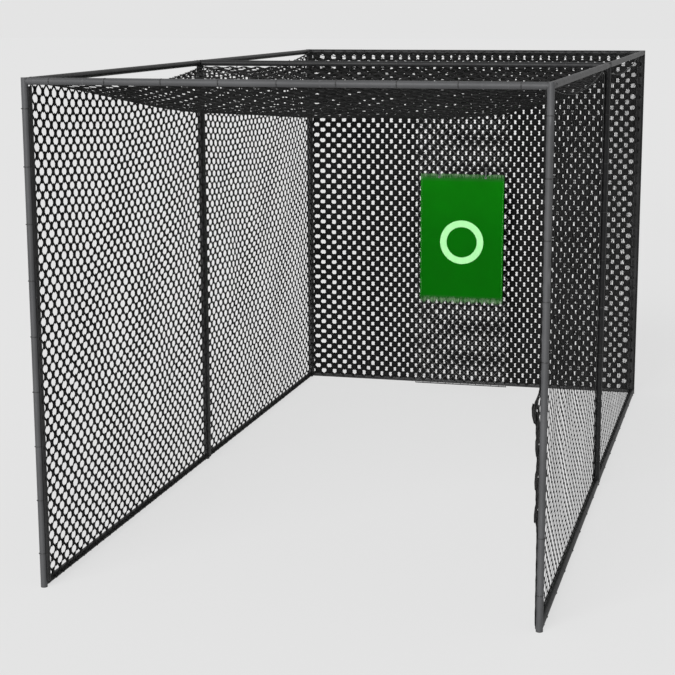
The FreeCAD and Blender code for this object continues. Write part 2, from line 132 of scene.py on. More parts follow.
class Nodes:
    """A material and its node tree, with a short call for each kind of node."""

    def __init__(self, name):
        self.material = bpy.data.materials.new(name)
        self.material.use_nodes = True
        self.tree = self.material.node_tree
        self.shader = self.tree.nodes["Principled BSDF"]
        self.place = self.add("TexCoord").outputs["Object"]

    def add(self, kind, *sources, **values):
        return add_node(self.tree, kind, *sources, **values)

    def noise(self, scale, detail=3.0, stretch=(1, 1, 1)):
        stretched = self.add("Mapping", self.place, Scale=stretch).outputs["Vector"]
        return self.add("TexNoise", stretched, Scale=scale, Detail=detail).outputs["Fac"]

    def wave(self, scale, direction, distortion=0.0):
        wave = self.add("TexWave", self.place, Scale=scale, Distortion=distortion)
        wave.bands_direction = direction
        return wave.outputs["Fac"]

    def weave(self):
        across, upright = (self.wave(WEAVE_SCALE, direction) for direction in ("X", "Z"))
        return self.mixed(0.5, across, upright, "MULTIPLY")

    def height_share(self, low, high):
        height = self.add("SeparateXYZ", self.place).outputs["Z"]
        return self.add("MapRange", height, From_Min=low, From_Max=high).outputs["Result"]

    def levels(self, factor, low, high):
        return self.add("MapRange", factor, To_Min=low, To_Max=high).outputs["Result"]

    def ramp(self, factor, *stops):
        """A colour for a factor. Each stop is a position and a colour."""
        ramp = self.add("ValToRGB", factor)
        elements = ramp.color_ramp.elements
        while len(elements) < len(stops):
            elements.new(0.5)
        for element, (position, colour) in zip(elements, stops):
            element.position = position
            element.color = (*colour, 1)
        return ramp.outputs["Color"]

    def mixed(self, factor, first, second, mode="MIX"):
        mix = self.add("Mix")
        mix.data_type = "RGBA"
        mix.blend_type = mode
        for value, key in ((factor, 0), (first, 6), (second, 7)):
            if hasattr(value, "links"):
                self.tree.links.new(value, mix.inputs[key])
            else:
                mix.inputs[key].default_value = value
        return mix.outputs[2]

    def bump(self, *layers):
        """Relief from layers of height, strength and distance in metres."""
        under = self.shader.inputs["Normal"]
        for height, strength, distance in reversed(layers):
            bump = self.add("Bump", Strength=strength, Distance=distance)
            self.tree.links.new(height, bump.inputs["Height"])
            self.tree.links.new(bump.outputs["Normal"], under)
            under = bump.inputs["Normal"]

    def finish(self, colour, factor, smooth, rough, gloss=0.5, metal=0.0):
        """The material, with a roughness that follows a factor."""
        for key, output in (("Base Color", colour), ("Roughness", self.levels(factor, smooth, rough))):
            self.tree.links.new(output, self.shader.inputs[key])
        self.shader.inputs["Specular IOR Level"].default_value = gloss
        self.shader.inputs["Metallic"].default_value = metal
        return self.material


def make_powder_coat(name, tone):
    n = Nodes(name)
    patches = n.noise(3.0, detail=4.0)
    grain = n.noise(420.0, detail=2.0)
    scuffs = n.noise(26.0, detail=6.0, stretch=(1, 1, 0.15))
    cool = np.array((1.0, 1.01, 1.045)) * tone
    colour = n.ramp(patches, (0.30, cool * 0.84), (0.72, cool * 1.18))
    worn = n.ramp(scuffs, (0.64, grey(0.0)), (0.74, grey(1.0)))
    colour = n.mixed(worn, colour, (*(cool * 1.65), 1))
    n.bump((grain, 0.10, 0.0004), (scuffs, 0.06, 0.001))
    return n.finish(colour, scuffs, 0.38, 0.58, gloss=0.18)


def make_netting(name, dark, pale):
    n = Nodes(name)
    fade = n.noise(1.3)
    fibre = n.noise(700.0)
    braid = n.wave(95.0, "DIAGONAL", distortion=2.0)
    colour = n.ramp(fade, (0.32, grey(dark)), (0.70, grey(pale)))
    colour = n.mixed(n.levels(braid, 0.0, 0.45), colour, (*grey(dark * 0.5), 1))
    n.bump((braid, 0.45, 0.0012), (fibre, 0.25, 0.0005))
    return n.finish(colour, fibre, 0.6, 0.85, gloss=0.12)


def make_grained(name, patches, colours, grain_scale, relief, roughness, gloss=0.5):
    """A dull material. patches is scale and detail, relief strength and distance."""
    n = Nodes(name)
    grain = n.noise(grain_scale)
    colour = n.ramp(n.noise(*patches), *colours)
    n.bump((grain, *relief))
    return n.finish(colour, grain, *roughness, gloss)


def make_rope():
    return make_grained("border_rope", (9.0, 4.0), ((0.35, grey(0.011)), (0.75, (0.030, 0.030, 0.031))),
                        grain_scale=900.0, relief=(0.4, 0.0006), roughness=(0.55, 0.85))


def make_rubber():
    return make_grained("rubber_foot", (22.0, 4.0), ((0.35, grey(0.018)), (0.80, (0.060, 0.058, 0.055))),
                        grain_scale=240.0, relief=(0.3, 0.0006), roughness=(0.6, 0.85))


def make_frayed_thread():
    colours = (0.30, (0.090, 0.200, 0.080)), (0.72, (0.300, 0.450, 0.270))
    return make_grained("frayed_thread", (30.0, 3.0), colours, grain_scale=500.0,
                        relief=(0.4, 0.0005), roughness=(0.8, 0.95), gloss=0.1)


def make_zinc():
    n = Nodes("zinc_plate")
    spangle = n.noise(120.0)
    brushed = n.noise(60.0, detail=2.0, stretch=(1, 1, 12))
    colour = n.ramp(spangle, (0.30, (0.15, 0.155, 0.16)), (0.75, (0.26, 0.265, 0.27)))
    n.bump((brushed, 0.08, 0.0004))
    return n.finish(colour, spangle, 0.28, 0.46, metal=0.9)


def make_tie_plastic():
    n = Nodes("tie_plastic")
    patches = n.noise(60.0)
    grain = n.noise(800.0, detail=2.0)
    colour = n.ramp(patches, (0.35, grey(0.012)), (0.75, grey(0.026)))
    n.bump((grain, 0.15, 0.0003))
    return n.finish(colour, patches, 0.38, 0.55)


def make_green_cloth():
    """Green cloth that is paler and greyer in a narrow band at its lower and upper edge, and has painted
    light that makes it brighter towards its top.
    """
    n = Nodes("green_cloth")
    weave = n.weave()
    patches = n.noise(5.0, detail=5.0)
    # Painted light: between the edge bands the ramp over height makes the green brighter towards the top
    # of the sheet
    colour = n.ramp(n.height_share(TARGET_LOW.z, TARGET_HIGH.z),
                    (0.0, (0.036, 0.140, 0.034)), (0.022, (0.018, 0.124, 0.018)),
                    (0.040, (0.0014, 0.138, 0.0016)), (0.55, (0.0016, 0.150, 0.0020)),
                    (0.945, (0.0030, 0.196, 0.0026)), (0.972, (0.020, 0.150, 0.020)),
                    (1.0, (0.052, 0.176, 0.050)))
    colour = n.mixed(n.levels(patches, 0.0, 0.55), colour, (0.0036, 0.088, 0.0026, 1))
    n.bump((weave, 0.35, 0.0008), (patches, 0.12, 0.004))
    return n.finish(colour, weave, 0.86, 0.97, gloss=0.04)


def make_pale_cloth():
    n = Nodes("pale_green_cloth")
    weave = n.weave()
    patches = n.noise(14.0, detail=4.0)
    colour = n.ramp(patches, (0.30, (0.42, 0.94, 0.40)), (0.75, (0.50, 1.0, 0.47)))
    n.bump((weave, 0.3, 0.0006))
    return n.finish(colour, weave, 0.8, 0.95, gloss=0.1)


POWDER = make_powder_coat("powder_coat", tone=0.072)
# A darker copy of the same powder coat for the frame parts away from the front: painted shade
SHADE_PAINTED_POWDER = make_powder_coat("powder_coat_painted_shade", tone=0.016)
NETTING = make_netting("black_netting", dark=0.008, pale=0.019)
PANEL_NETTING = make_netting("panel_netting", dark=0.110, pale=0.200)
ROPE = make_rope()
RUBBER = make_rubber()
ZINC = make_zinc()
TIE_PLASTIC = make_tie_plastic()
GREEN_CLOTH = make_green_cloth()
PALE_CLOTH = make_pale_cloth()
FRAYED_THREAD = make_frayed_thread()


# Meshes

def new_object(name, data):
    thing = bpy.data.objects.new(name, data)
    bpy.context.scene.collection.objects.link(thing)
    return thing


class Build:
    """Points and faces that are gathered part by part and made into one piece."""

    def __init__(self):
        self.points = []
        self.faces = []
        self.count = 0

    def add(self, points, faces):
        points = np.asarray(points, float).reshape(-1, 3)
        self.points.append(points)
        self.faces += [[corner + self.count for corner in face] for face in faces]
        self.count += len(points)

    def piece(self, name, material, slot, body="root", replaces=()):
        mesh = bpy.data.meshes.new(name)
        mesh.from_pydata(np.concatenate(self.points).tolist(), [], self.faces)
        mesh.polygons.foreach_set("use_smooth", [True] * len(mesh.polygons))
        mesh.materials.append(material)
        mesh.update()
        thing = new_object(name, mesh)
        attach(thing, body)
        if replaces:
            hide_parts(*replaces)
        return thing


def unit(vectors):
    return vectors / np.linalg.norm(vectors, axis=-1, keepdims=True)


def path_of(*coordinates):
    """Points from their coordinates, each a number or one number for each point."""
    return np.stack(np.broadcast_arrays(*coordinates), -1).astype(float)


def circle(count):
    """The angles of so many points round a circle."""
    return np.arange(count) * 2 * math.pi / count


def arc(radius, start, end, count, x=0.0, y=0.0):
    """Points of an arc round (x, y)."""
    angles = np.linspace(start, end, count)
    return path_of(x + radius * np.cos(angles), y + radius * np.sin(angles))


def arch(share):
    """0 at both ends of a share and 1 half way."""
    return np.sin(math.pi * np.clip(share, 0, 1))


def fade(distance, amount, reach):
    return amount * np.exp(-distance / reach)


def swelling(distance, amount, reach):
    return amount * np.exp(-(distance / reach) ** 2)


def sine_wave(shape, along, across=0.0, phase=0.0):
    """A sine wave. shape is its height, its turns along and across, and its start."""
    height, turns_along, turns_across, start = shape
    return height * np.sin(turns_along * along + turns_across * across + start + phase)


def run_along(path):
    """The length of a path up to each of its points."""
    steps = np.linalg.norm(np.diff(path, axis=0), axis=1)
    return np.concatenate([[0], np.cumsum(steps)])


NEARLY_UPRIGHT = 0.9


def sides_along(path, closed):
    """Two steady side directions at each point of a path."""
    if closed:
        tangents = unit(np.roll(path, -1, 0) - np.roll(path, 1, 0))
    else:
        tangents = unit(np.gradient(path, axis=0))
    helper = (0.0, 0.0, 1.0) if abs(tangents[0][2]) < NEARLY_UPRIGHT else (0.0, 1.0, 0.0)
    side = np.cross(helper, tangents[0])
    sides = []
    for tangent in tangents:
        side = unit(side - tangent * (side @ tangent))
        sides.append(side)
    return np.array(sides), np.cross(tangents, sides)


def ring_faces(rings, sides, closed=False):
    """Quads between neighbouring rings of points, numbered ring by ring."""
    steps = np.arange(rings if closed else rings - 1)[:, None]
    corner = np.arange(sides)[None, :]
    after = (corner + 1) % sides
    a = steps * sides
    b = ((steps + 1) % rings) * sides
    return np.stack([a + corner, a + after, b + after, b + corner], -1).reshape(-1, 4).tolist()


def capped_faces(rings, sides):
    """The same for an open row of rings, with a face over its first and its last ring."""
    first = list(range(sides))
    last = [(rings - 1) * sides + corner for corner in first]
    return ring_faces(rings, sides) + [first[::-1], last]


def repeated(faces, corners, count):
    """The faces of a shape with so many corners, for count such shapes in a row."""
    faces = np.array(faces)
    shifts = np.arange(count)[:, None, None] * corners
    return (faces + shifts).reshape(-1, faces.shape[1]).tolist()


def add_tube(build, path, radius, count=8, closed=False):
    """A tube along a path. radius is one number, one for each point, or a function of angle and run."""
    path = np.asarray(path, float)
    first, second = sides_along(path, closed)
    angles = circle(count)
    if callable(radius):
        radii = radius(angles[None, :], run_along(path)[:, None])
    else:
        radii = np.broadcast_to(np.asarray(radius, float).reshape(-1, 1), (len(path), count))
    rings = (path[:, None]
             + first[:, None] * (radii * np.cos(angles))[..., None]
             + second[:, None] * (radii * np.sin(angles))[..., None])
    if closed:
        build.add(rings, ring_faces(len(path), count, closed=True))
    else:
        build.add(rings, capped_faces(len(path), count))


ROPE_PITCH = 0.045
ROPE_STRANDS = 3
ROPE_STEP = 0.009
ROPE_SIDES = 9
ROPE_GROOVE = 0.26


def twisted(angle, run):
    lobes = np.abs(np.cos(ROPE_STRANDS / 2 * (angle - 2 * math.pi * run / ROPE_PITCH)))
    return ROPE_R * (1 - ROPE_GROOVE + ROPE_GROOVE * lobes)


def add_rope(build, path):
    """A laid rope of three strands along a path, whose points may be far apart."""
    path = np.asarray(path, float)
    run = run_along(path)
    stops = np.linspace(0, run[-1], max(2, int(run[-1] / ROPE_STEP)))
    fine = np.stack([np.interp(stops, run, path[:, axis]) for axis in range(3)], -1)
    add_tube(build, fine, twisted, count=ROPE_SIDES)


def add_strands(build, starts, ends, normals, end_width, middle_width, thickness):
    """Flat strands between two sets of points, with a width at their ends and one at their middle."""
    along = ends - starts
    sides = unit(np.cross(normals, along))
    proud = normals * (thickness / 2)
    rings = []
    for share, width in ((0.0, end_width), (0.5, middle_width), (1.0, end_width)):
        centre = starts + along * share
        across = sides * (width[:, None] / 2)
        rings.append(np.stack([centre + across, centre + proud, centre - across, centre - proud], 1))
    build.add(np.stack(rings, 1), repeated(ring_faces(3, 4), 3 * 4, len(starts)))


KNOT_SIDES = 8


def add_knots(build, centres, normals, uprights, half_width, half_height, half_thickness):
    """Flattened oval knots, each with its own half width and half height."""
    angles = circle(KNOT_SIDES)
    sides = unit(np.cross(uprights, normals))
    tops = np.cross(normals, sides)
    rim = (centres[:, None]
           + sides[:, None] * np.cos(angles)[:, None] * half_width[:, None, None]
           + tops[:, None] * np.sin(angles)[:, None] * half_height[:, None, None])
    front = centres[:, None] + normals[:, None] * half_thickness
    back = centres[:, None] - normals[:, None] * half_thickness
    corner = np.arange(KNOT_SIDES)
    after = (corner + 1) % KNOT_SIDES
    faces = np.concatenate([
        np.stack([corner, after, np.full(KNOT_SIDES, KNOT_SIDES)], -1),
        np.stack([after, corner, np.full(KNOT_SIDES, KNOT_SIDES + 1)], -1),
    ])
    build.add(np.concatenate([rim, front, back], 1), repeated(faces, KNOT_SIDES + 2, len(centres)))


SLOPE_REACH = 0.3
END_COLUMN_KNOT = 0.9
KNOT_JITTER = 0.003
END_ROW_KNOT = 0.4
END_COLUMN_JITTER = 0.3


class Net:
    """A diamond lattice with a knot wherever column plus row is even.

    place(i, j) gives the points at columns i and rows j. Two columns or two rows make a mesh.
    """

    def __init__(self, place, columns, rows, seed, jitter=KNOT_JITTER):
        self.place = place
        self.columns = columns
        self.rows = rows
        draws = np.random.default_rng(seed)
        self.jitter = draws.uniform(-jitter, jitter, (columns + 1, rows + 1, 2))
        self.jitter[[0, -1], :, 0] = 0
        self.jitter[[0, -1], :, 1] *= END_COLUMN_JITTER
        self.jitter[:, [0, -1], :] = 0

    def directions(self, i, j):
        """The net's normals, and its directions along a row and up a column."""
        across = self.place(i + SLOPE_REACH, j) - self.place(i - SLOPE_REACH, j)
        up = self.place(i, j + SLOPE_REACH) - self.place(i, j - SLOPE_REACH)
        return unit(np.cross(across, up)), unit(across), unit(up)

    def points(self, i, j):
        _, across, up = self.directions(i, j)
        moved = self.jitter[i, j]
        return self.place(i, j) + across * moved[:, :1] + up * moved[:, 1:]

    def knot_sizes(self, i, j, scale):
        """Knots on the net's own edges are smaller, so that they stay behind the ropes."""
        sizes = np.where((i == 0) | (i == self.columns), END_COLUMN_KNOT, 1.0)
        return sizes * np.where((j == 0) | (j == self.rows), END_ROW_KNOT, 1.0) * scale(i, j)

    def part(self, first, last, strand, knot, scale):
        """Columns first to last. strand is end width, middle width and thickness, knot half sizes."""
        build = Build()
        i, j = np.meshgrid(np.arange(self.columns + 1), np.arange(self.rows + 1), indexing="ij")
        i, j = i.ravel(), j.ravel()
        even = (i + j) % 2 == 0
        knots = even & (i >= first) & (i <= last) & ((i > first) | (first == 0))
        ki, kj = i[knots], j[knots]
        normals, _, up = self.directions(ki, kj)
        sizes = self.knot_sizes(ki, kj, scale)
        add_knots(build, self.points(ki, kj), normals, up, knot[0] * sizes, knot[1] * sizes, knot[2])
        for rise in (1, -1):
            start = even & (i >= first) & (i < last) & (j + rise >= 0) & (j + rise <= self.rows)
            si, sj = i[start], j[start]
            mi, mj = si + 0.5, sj + rise / 2
            normals, _, _ = self.directions(mi, mj)
            sizes = scale(mi, mj)
            add_strands(build, self.points(si, sj), self.points(si + 1, sj + rise), normals,
                        strand[0] * sizes, strand[1] * sizes, strand[2])
        return build


def even_scale(share):
    return lambda i, j: np.full(len(i), share)


EDGE_SLOPE = 0.05
AT_EDGE = 0.9999


def beyond(i, count):
    """A way out past both edges of a net, so that it has directions there."""
    return (np.minimum(i, 0) + np.maximum(i - count, 0)) * EDGE_SLOPE


def out_to_seam(value, net, seam):
    """Takes the edges of a net out to the middle of the ropes round it."""
    return np.where(np.abs(value) > net * AT_EDGE, np.sign(value) * seam, value)


# Side nets, whose rows follow the sagging seams, and whose front right edge hangs loose

WALL_COLUMNS = 112
WALL_ROWS = 64
WALL_STRAND = (0.020, 0.0145, 0.0024)
WALL_KNOT = (0.021, 0.0260, 0.0028)
WALL_SWELL = 0.016
WALL_UNEVEN_LONG = (0.45, 2.1, 0, 0)
WALL_UNEVEN_HIGH = (1, 4.0, 0, math.pi / 2)
WALL_RIPPLE = (0.004, 7.3, 9.0, 0)
SLACK_ROW_SHARE = (0.0042, 5.3, -13.0, 0)
SLACK_LONG = (0.011, 6.1, 9.0, 0)
SLACK_SHORT = (0.007, -9.0, 13.0, 0)

FLAP_LOW = 0.60
FLAP_HIGH = 1.45
FLAP_HANG = 0.011
FLAP_RIPPLE = (0.0035, 29.0, 0, 0.8)
FLAP_BULGE = (0.021, 0.085)
FLAP_BULGE_Z = 1.29
FLAP_DEPTH = 0.30

LEFT_WALL_SHARE = 1.11
RIGHT_WALL_SHARE = 0.96
RIGHT_WALL_FINER = 0.15
LOOSE_EDGE_FULLER = (1.55, 1.7)
FRONT_FULLER = (0.18, 5.0)


def flap(z):
    """How far the front right edge of the net hangs loose inwards at a height."""
    loose = np.minimum(arch((z - FLAP_LOW) / (FLAP_HIGH - FLAP_LOW)) * 3.0, 1.0)
    bulge = swelling(z - FLAP_BULGE_Z, *FLAP_BULGE)
    return loose * (FLAP_HANG + sine_wave(FLAP_RIPPLE, z) + bulge)


def wall_wave(y, share, phase):
    """How far a side net hangs inwards. It is held at its posts, top and bottom."""
    held = np.abs(np.sin(math.pi * y / SEAM_Y)) * arch(share)
    uneven = sine_wave(WALL_UNEVEN_LONG, y, phase=phase) * sine_wave(WALL_UNEVEN_HIGH, share, phase=phase)
    swell = WALL_SWELL * (1 - WALL_UNEVEN_LONG[0] + uneven)
    return held * (swell + sine_wave(WALL_RIPPLE, y, share, phase))


def wall_place(sign, phase):
    def place(i, j):
        y = -SEAM_Y + 2 * SEAM_Y * np.asarray(i, float) / WALL_COLUMNS
        share = np.asarray(j, float) / WALL_ROWS
        slack = arch(share) * np.minimum(np.abs(np.sin(math.pi * y / SEAM_Y)) * 2, 1)
        share = share + slack * sine_wave(SLACK_ROW_SHARE, y, share, phase)
        z = LOW_Z + (seam_z(np.clip(y, -SEAM_Y, SEAM_Y)) - LOW_Z) * share
        along = sine_wave(SLACK_LONG, y, share, phase) + sine_wave(SLACK_SHORT, y, share)
        y = y + slack * along
        inward = wall_wave(y, share, phase)
        if sign > 0:
            inward = inward + fade(y + SEAM_Y, flap(z), FLAP_DEPTH)
        return path_of(sign * (SEAM_X - inward), y, z)
    return place


def right_wall_scale(i, j):
    """Finer towards the low back corner, and nearly closed along the loose front edge."""
    back = np.clip(i / WALL_COLUMNS * 2 - 1, 0, 1)
    low = np.clip(1 - j / WALL_ROWS * 2.2, 0, 1)
    front = swelling(i, *LOOSE_EDGE_FULLER) + fade(i, *FRONT_FULLER)
    return RIGHT_WALL_SHARE - RIGHT_WALL_FINER * back * low + front


# Back net, whose meshes are wide at its left and right edges and narrow between them

BACK_COLUMNS = 74
BACK_STRAND = (0.034, 0.026, 0.0030)
BACK_KNOT = (0.031, 0.030, 0.0034)
BACK_SWELL = 0.012
BACK_RIPPLE = (0.006, 5.0, 3.0, 0)
BACK_MESH = 0.069
BACK_LEFT_WIDER = (0.045, 0.62)
BACK_RIGHT_WIDER = (0.030, 0.25)
BACK_SHARE = 1.01
BACK_LEFT_FULLER = (0.11, 0.8)
BACK_RIGHT_FULLER = (0.08, 0.4)
BACK_RIGHT_X = 0.95


BACK_STEPS = 400


def back_stations():
    """Column places of the back net, from the width that its meshes have at each place."""
    ends = np.linspace(-SEAM_X, SEAM_X, BACK_STEPS)
    width = BACK_MESH + fade(ends + SEAM_X, *BACK_LEFT_WIDER) + fade(SEAM_X - ends, *BACK_RIGHT_WIDER)
    run = np.concatenate([[0], np.cumsum(1 / (width[1:] + width[:-1]))])
    return np.interp(np.arange(BACK_COLUMNS + 1) / BACK_COLUMNS, run / run[-1], ends)


BACK_X = back_stations()


def back_x(i):
    return np.interp(i, np.arange(BACK_COLUMNS + 1), BACK_X)


def back_place(i, j):
    x = back_x(i) + beyond(i, BACK_COLUMNS)
    share = np.asarray(j, float) / WALL_ROWS
    z = LOW_Z + (TOP_Z - LOW_Z) * share
    held = np.cos(math.pi / 2 * np.clip(x / SEAM_X, -1, 1)) * arch(share)
    inward = held * (BACK_SWELL + sine_wave(BACK_RIPPLE, x, share))
    return path_of(x, SEAM_Y - inward, z)


def back_scale(i, j):
    """A little fuller at the left, where the meshes are wide, and to the right of the target."""
    x = back_x(i)
    right = swelling(x - BACK_RIGHT_X, *BACK_RIGHT_FULLER)
    return BACK_SHARE + fade(x + SEAM_X, *BACK_LEFT_FULLER) + right


# Roof net, whose rows have a knot at each of the two hooks that carry the panel

ROOF_COLUMNS = 56
ROOF_END_ROWS = 7
ROOF_LONG_ROWS = 98
ROOF_ROWS = 2 * ROOF_END_ROWS + ROOF_LONG_ROWS
ROOF_Y = np.concatenate([
    np.linspace(-NET_Y, -PANEL_Y, ROOF_END_ROWS + 1)[:-1],
    np.linspace(-PANEL_Y, PANEL_Y, ROOF_LONG_ROWS + 1)[:-1],
    np.linspace(PANEL_Y, NET_Y, ROOF_END_ROWS + 1),
])
ROOF_STRAND = (0.030, 0.023, 0.0036)
ROOF_KNOT = (0.027, 0.029, 0.0040)
ROOF_RIPPLE = (0.006, 6.0, 0, 2.0)
ROOF_RIPPLE_LONG = (1, 4.2, 0, 0)
RIPPLE_HOOK_REACH = 0.25
RIPPLE_EDGE_REACH = 0.4
ROOF_FRONT_SHARE = 1.30
ROOF_BACK_FINER = 0.86
ROOF_FADE_START = -1.3
ROOF_FADE_LENGTH = 3.2
HOOK_KNOT_SHARE = 0.55
HOOK_KNOT_REACH = 0.01


def hook_distance(x, y):
    return np.hypot(np.abs(x) - PANEL_HOOK_X, y - PANEL_Y)


def roof_place(i, j):
    x = NET_X * (np.asarray(i, float) / ROOF_COLUMNS * 2 - 1)
    x = out_to_seam(x, NET_X, SEAM_X) + beyond(i, ROOF_COLUMNS)
    y = np.interp(j, np.arange(ROOF_ROWS + 1), ROOF_Y)
    y = out_to_seam(y, NET_Y, SEAM_Y) + beyond(j, ROOF_ROWS)
    z = roof_z(x, np.clip(y, -SEAM_Y, SEAM_Y))
    away = np.minimum(hook_distance(x, y) / RIPPLE_HOOK_REACH, 1)
    edge = np.minimum((NET_X - np.minimum(np.abs(x), NET_X)) / RIPPLE_EDGE_REACH, 1)
    ripple = sine_wave(ROOF_RIPPLE, x) * sine_wave(ROOF_RIPPLE_LONG, y)
    return path_of(x, y, z + ripple * edge * away * bay_share(y))


def roof_scale(i, j):
    """Fuller in the front bay than in the back one. The two knots that carry the panel are tight."""
    x, y, _ = roof_place(i, j).T
    back = np.clip((y - ROOF_FADE_START) / ROOF_FADE_LENGTH, 0, 1)
    back = back * back * (3 - 2 * back)
    full = ROOF_FRONT_SHARE - ROOF_BACK_FINER * back
    return np.where(hook_distance(x, y) < HOOK_KNOT_REACH, HOOK_KNOT_SHARE, full)


# Net of the impact panel

PANEL_COLUMNS = 24
PANEL_ROWS = 80
PANEL_STRAND = (0.0036, 0.0030, 0.0022)
PANEL_KNOT = (0.0050, 0.0056, 0.0026)
PANEL_JITTER = 0.0015
PANEL_SWELL = (0.003, 2.6, 0, 0)
PANEL_NET_LOW = PANEL_LOW + ROPE_R
PANEL_NET_HIGH = PANEL_TOP - ROPE_R


def panel_place(i, j):
    x = PANEL_HALF * (2 * np.asarray(i, float) / PANEL_COLUMNS - 1)
    share = np.asarray(j, float) / PANEL_ROWS
    z = PANEL_NET_LOW + (PANEL_NET_HIGH - PANEL_NET_LOW) * share
    held = arch(share) * np.cos(math.pi * x / PANEL_HALF) ** 2
    return path_of(x, PANEL_Y + held * sine_wave(PANEL_SWELL, z), z)


def make_halves(net, name, parts, strand, knot, scale):
    """Two pieces of one net, on both sides of its middle column."""
    half = net.columns // 2
    for part, first, last in ((parts[0], 0, half), (parts[1], half, net.columns)):
        build = net.part(first, last, strand, knot, scale)
        build.piece(f"netting_{name}_{part}", NETTING, "netting", replaces=[f"net_{name}"])


def make_side_nets():
    for side, sign, phase, scale in (("left", -1, 0.4, even_scale(LEFT_WALL_SHARE)),
                                     ("right", 1, 2.1, right_wall_scale)):
        net = Net(wall_place(sign, phase), WALL_COLUMNS, WALL_ROWS, seed=11 + sign)
        make_halves(net, side, ("front", "back"), WALL_STRAND, WALL_KNOT, scale)


def make_back_net():
    net = Net(back_place, BACK_COLUMNS, WALL_ROWS, seed=21)
    make_halves(net, "back", ("left", "right"), BACK_STRAND, BACK_KNOT, back_scale)


def make_roof_net():
    net = Net(roof_place, ROOF_COLUMNS, ROOF_ROWS, seed=31)
    make_halves(net, "roof", ("left", "right"), ROOF_STRAND, ROOF_KNOT, roof_scale)


def make_panel_net():
    net = Net(panel_place, PANEL_COLUMNS, PANEL_ROWS, seed=41, jitter=PANEL_JITTER)
    build = net.part(0, PANEL_COLUMNS, PANEL_STRAND, PANEL_KNOT, even_scale(1.0))
    build.piece("impact_netting", PANEL_NETTING, "panel_netting", "impact_panel", ["panel_net"])


# Border tapes and ropes

TAPE_IN = 0.018
TAPE_OUT = 0.034
TAPE_HALF = 0.0012
TAPE_EDGE_HALF = 0.0004
TAPE_BEVEL = 0.002
TAPE_POINTS = 130
LOOSE_TAPE_IN = 0.040
MIDDLE_TAPE_HALF = 0.030
MIDDLE_TAPE_DROP = 0.02
TAPE_WANDER = (0.0012, 41.0, 0, 0)
TAPE_FINE_WANDER = (0.0009, 97.0, 0, 1.0)
TAPE_RIPPLE = (0.0008, 63.0, 0, 2.0)
FLOOR_TAPE_DOWN, FLOOR_TAPE_UP = 0.012, 0.020
TAPE_LOW_GAP, TAPE_TOP_GAP, TAPE_SIDE_GAP = 0.010, 0.030, 0.004


def edge_path(sign, y, heights):
    """The upright edge of a side net, which hangs loose at the front right post."""
    loose = sign > 0 and y < 0
    return path_of(sign * (SEAM_X - flap(heights) * loose), y, heights)


def add_tape(build, path, outward, sideways, start=-TAPE_IN, end=TAPE_OUT):
    """A woven tape along a path. outward is across it, and sideways is its thin direction."""
    outward, sideways = np.asarray(outward, float), np.asarray(sideways, float)
    run = run_along(path)
    wander = sine_wave(TAPE_WANDER, run) + sine_wave(TAPE_FINE_WANDER, run)
    ripple = sine_wave(TAPE_RIPPLE, run)
    face = ((start, TAPE_EDGE_HALF), (start + TAPE_BEVEL, TAPE_HALF),
            (end - TAPE_BEVEL, TAPE_HALF), (end, TAPE_EDGE_HALF))
    section = face + tuple((across, -proud) for across, proud in face[::-1])
    rings = []
    for across, proud in section:
        reach = across + wander * (across > 0)
        rings.append(path + outward * reach[:, None] + sideways * (proud + ripple)[:, None])
    build.add(np.stack(rings, 1), capped_faces(len(path), len(section)))


def make_tapes():
    heights = np.linspace(LOW_Z + TAPE_LOW_GAP, TOP_Z - TAPE_TOP_GAP, TAPE_POINTS)
    build = Build()
    for sign in (-1, 1):
        for y, outward in ((-SEAM_Y, (0, -1, 0)), (SEAM_Y, (0, 1, 0))):
            inner = -LOOSE_TAPE_IN if sign > 0 and y < 0 else -TAPE_IN
            add_tape(build, edge_path(sign, y, heights), outward, (1, 0, 0), inner)
        add_tape(build, path_of(sign * SEAM_X, SEAM_Y, heights), (sign, 0, 0), (0, 1, 0))
        add_tape(build, path_of(sign * SEAM_X, 0, heights - MIDDLE_TAPE_DROP), (0, 1, 0), (1, 0, 0),
                 -MIDDLE_TAPE_HALF, MIDDLE_TAPE_HALF)
    across = np.linspace(-SEAM_X + TAPE_SIDE_GAP, SEAM_X - TAPE_SIDE_GAP, TAPE_POINTS)
    add_tape(build, path_of(across, SEAM_Y, LOW_Z), (0, 0, 1), (0, 1, 0),
             -FLOOR_TAPE_DOWN, FLOOR_TAPE_UP)
    build.piece("border_tapes", ROPE, "border_rope")


UPRIGHT_POINTS = 120
SEAM_POINTS = 161


def make_rope_piece(name, node, path, body="root"):
    build = Build()
    add_rope(build, path)
    build.piece(name, ROPE, "border_rope", body, [node])


